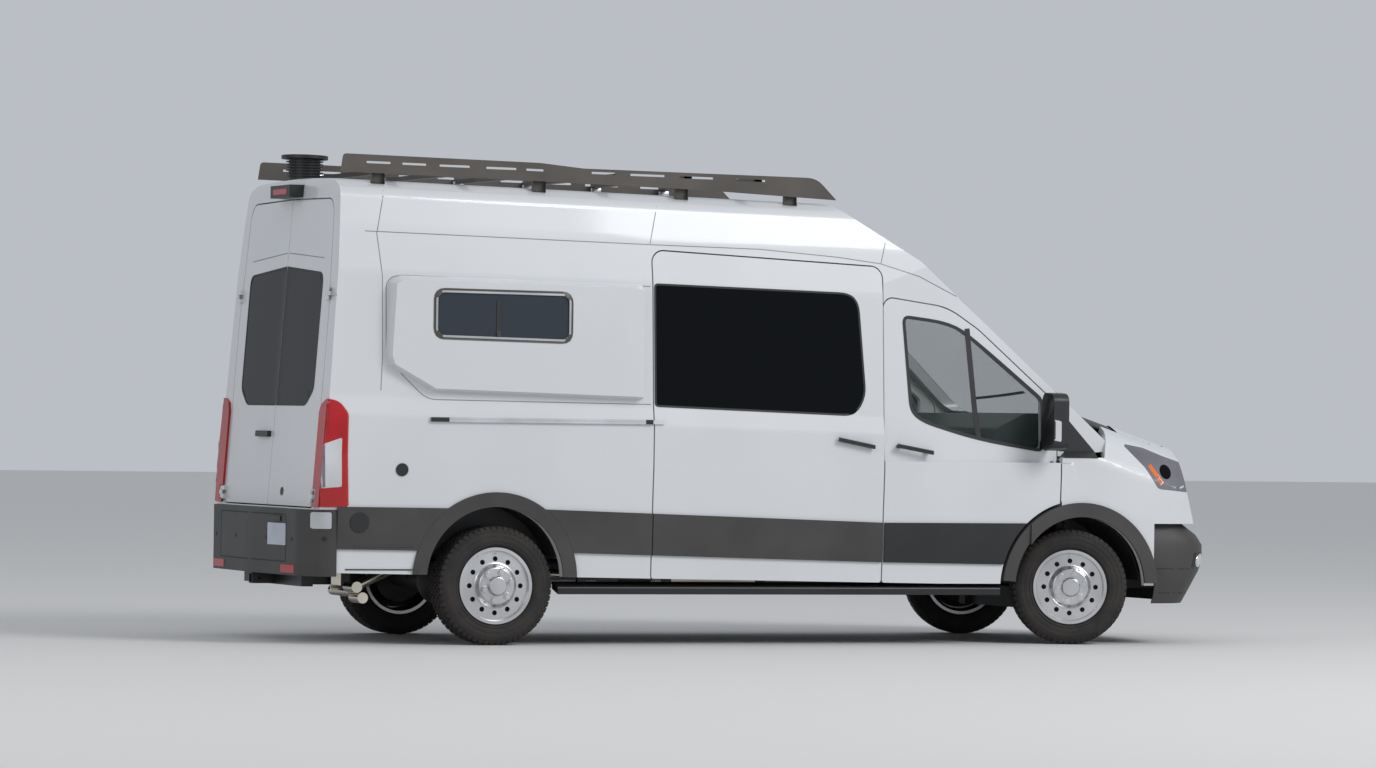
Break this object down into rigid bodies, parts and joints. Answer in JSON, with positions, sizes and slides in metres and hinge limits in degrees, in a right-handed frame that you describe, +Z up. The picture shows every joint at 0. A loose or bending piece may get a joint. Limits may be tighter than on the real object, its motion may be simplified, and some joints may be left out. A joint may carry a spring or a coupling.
{
  "type": "high-roof camper van",
  "caption": "High-roof panel van turned camper: hinged front doors, rear doors and hood, steered front wheels, bulged side pods with windows, roof rack and side steps.",
  "frame": {"origin": "on the ground, at the middle of the van's length and width", "axes": "+X forward, +Y to the van's left, +Z up"},
  "size_m": [5.9704, 2.474, 2.8869],
  "materials": {
    "body_paint": "pearl white",
    "cladding": "grained dark grey",
    "black_plastic": "satin black",
    "black_metal": "satin black",
    "dark_glass": "privacy tint",
    "clear_glass": "light green tint",
    "tyre": "dusty black",
    "wheel_metal": "polished",
    "bare_metal": "satin",
    "dark_metal": "rough",
    "lamp_red": "clear lens over red",
    "lamp_clear": "clear lens",
    "rack_metal": "bronze grey",
    "seat_fabric": "woven",
    "chrome": "polished"
  },
  "bodies": {
    "van": {"body_side_right": "body_paint", "body_side_left": "body_paint", "roof": "body_paint", "windscreen": "clear_glass", "side_glass": "dark_glass", "sliding_door": "body_paint", "door_rail": "bare_metal", "floor": "black_metal", "wheel_liners": "black_plastic", "firewall": "black_metal", "cowl": "black_plastic", "headlamps": "lamp_clear", "fenders": "body_paint", "grille": "black_plastic", "front_bumper": "cladding", "side_cladding": "cladding", "sill_steps": "black_metal", "side_flares": "body_paint", "pod_window_frames": "bare_metal", "pod_glass": "dark_glass", "tail_lamps": "lamp_red", "rear_bumper": "cladding", "roof_rack": "rack_metal", "roof_vent": "black_plastic", "seats": "seat_fabric", "dashboard": "black_plastic", "engine": "dark_metal", "front_subframe": "dark_metal", "fuel_tank": "black_plastic", "rear_axle": "dark_metal", "leaf_springs": "dark_metal", "exhaust": "chrome", "tow_hitch": "black_metal"},
    "hood": {"hood": "body_paint"},
    "front_door_right": {"front_door_right": "body_paint", "front_door_glass_right": "clear_glass", "front_door_trim_right": "black_plastic"},
    "front_door_left": {"front_door_left": "body_paint", "front_door_glass_left": "clear_glass", "front_door_trim_left": "black_plastic"},
    "rear_door_right": {"rear_door_right": "body_paint", "rear_door_glass_right": "dark_glass"},
    "rear_door_left": {"rear_door_left": "body_paint", "rear_door_glass_left": "dark_glass"},
    "steering_knuckle_right": {"knuckle_right": "dark_metal"},
    "steering_knuckle_left": {"knuckle_left": "dark_metal"},
    "front_wheel_right": {"tyre_front_right": "tyre", "rim_front_right": "wheel_metal"},
    "front_wheel_left": {"tyre_front_left": "tyre", "rim_front_left": "wheel_metal"},
    "rear_wheel_right": {"tyre_rear_right": "tyre", "rim_rear_right": "wheel_metal"},
    "rear_wheel_left": {"tyre_rear_left": "tyre", "rim_rear_left": "wheel_metal"}
  },
  "joints": [
    {"name": "hood_hinge", "type": "hinge", "parent": "van", "child": "hood", "pos_m": [2.2575, 0, 1.312], "axis": [0, -1, 0], "range_deg": [0, 50]},
    {"name": "front_door_right_hinge", "type": "hinge", "parent": "van", "child": "front_door_right", "pos_m": [1.7815, -1, 1], "axis": [0, 0, 1], "range_deg": [0, 68]},
    {"name": "front_door_left_hinge", "type": "hinge", "parent": "van", "child": "front_door_left", "pos_m": [1.7815, 1, 1], "axis": [0, 0, -1], "range_deg": [0, 68]},
    {"name": "rear_door_right_hinge", "type": "hinge", "parent": "van", "child": "rear_door_right", "pos_m": [-2.8925, -0.874, 0.88], "axis": [0.0767, 0, 0.9971], "range_deg": [0, 180]},
    {"name": "rear_door_left_hinge", "type": "hinge", "parent": "van", "child": "rear_door_left", "pos_m": [-2.8925, 0.874, 0.88], "axis": [-0.0767, 0, -0.9971], "range_deg": [0, 180]},
    {"name": "steer_left", "type": "hinge", "parent": "van", "child": "steering_knuckle_left", "pos_m": [1.9675, 0.79, 0.348], "axis": [0, 0, 1], "range_deg": [-16, 50]},
    {"name": "steer_right", "type": "hinge", "parent": "van", "child": "steering_knuckle_right", "pos_m": [1.9675, -0.79, 0.348], "axis": [0, 0, 1], "range_deg": [-16, 50]},
    {"name": "spin_front_left", "type": "hinge", "parent": "steering_knuckle_left", "child": "front_wheel_left", "pos_m": [1.98972, 0.86268, 0.348], "axis": [0.2924, 0.9563, 0], "continuous": true},
    {"name": "spin_front_right", "type": "hinge", "parent": "steering_knuckle_right", "child": "front_wheel_right", "pos_m": [1.94528, -0.86268, 0.348], "axis": [0.2924, 0.9563, 0], "continuous": true},
    {"name": "spin_rear_left", "type": "hinge", "parent": "van", "child": "rear_wheel_left", "pos_m": [-1.7825, 0.8715, 0.348], "axis": [0, 1, 0], "continuous": true},
    {"name": "spin_rear_right", "type": "hinge", "parent": "van", "child": "rear_wheel_right", "pos_m": [-1.7825, -0.8715, 0.348], "axis": [0, 1, 0], "continuous": true}
  ],
  "couplings": [
    {"joint": "steer_right", "follows": "steer_left", "ratio": 1}
  ]
}
